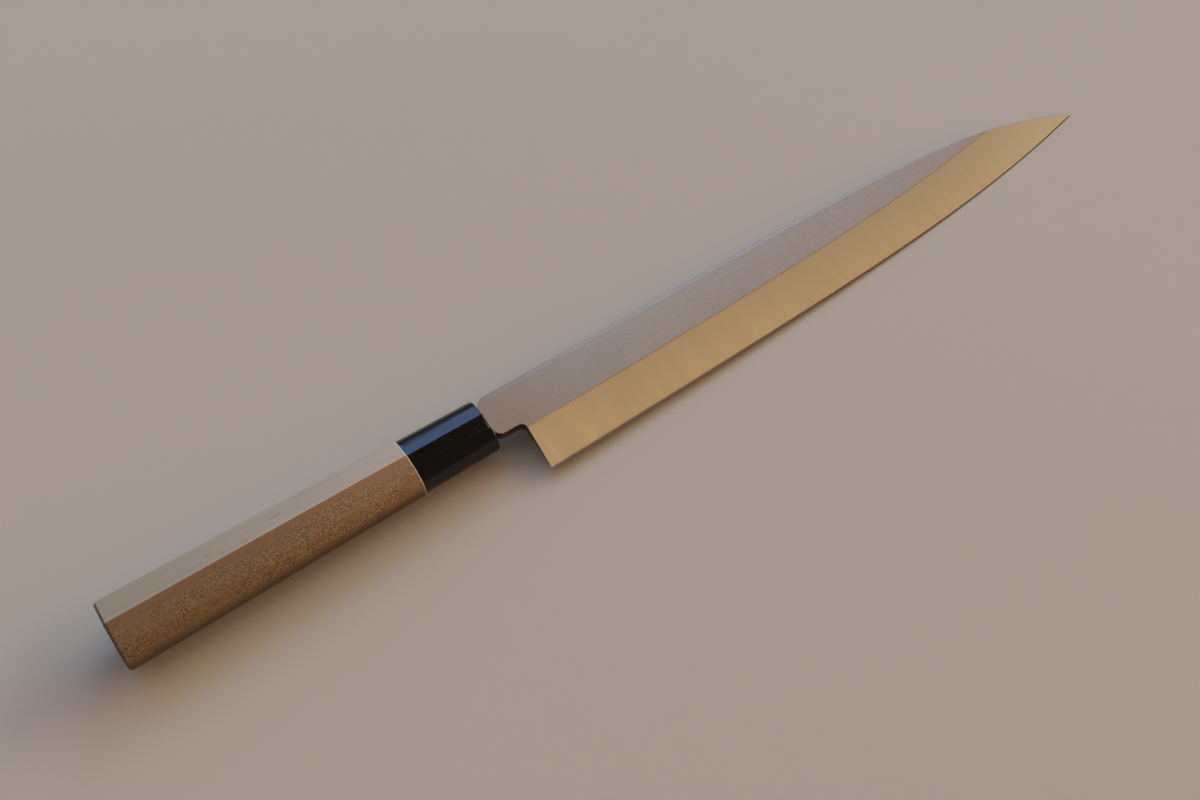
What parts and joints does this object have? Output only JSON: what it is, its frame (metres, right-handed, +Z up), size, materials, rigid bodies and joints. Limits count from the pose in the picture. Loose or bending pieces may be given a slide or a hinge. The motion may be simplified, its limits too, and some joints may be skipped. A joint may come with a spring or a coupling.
{
  "type": "yanagiba knife",
  "caption": "Long single-bevel slicing knife lying on its left side, with a tapered blade on a tang, a ridged wooden handle and a black ferrule.",
  "frame": {"origin": "middle of the knife's box, on the table that it lies on", "axes": "+X from the handle to the tip, +Y from the cutting edge to the spine, +Z up out of the right-hand face; the knife lies on its left side, leaning about 6 degrees towards its edge"},
  "size_m": [0.4188, 0.0386, 0.0215],
  "materials": {
    "blade_steel": "satin ground, scratches across the blade",
    "handle_wood": "sanded bare magnolia wood",
    "ferrule_black": "polished black",
    "set_resin": "dull set resin"
  },
  "bodies": {
    "root": {"blade": "blade_steel", "handle_body": "handle_wood", "ferrule": "ferrule_black", "tang_bedding": "set_resin"}
  },
  "joints": []
}
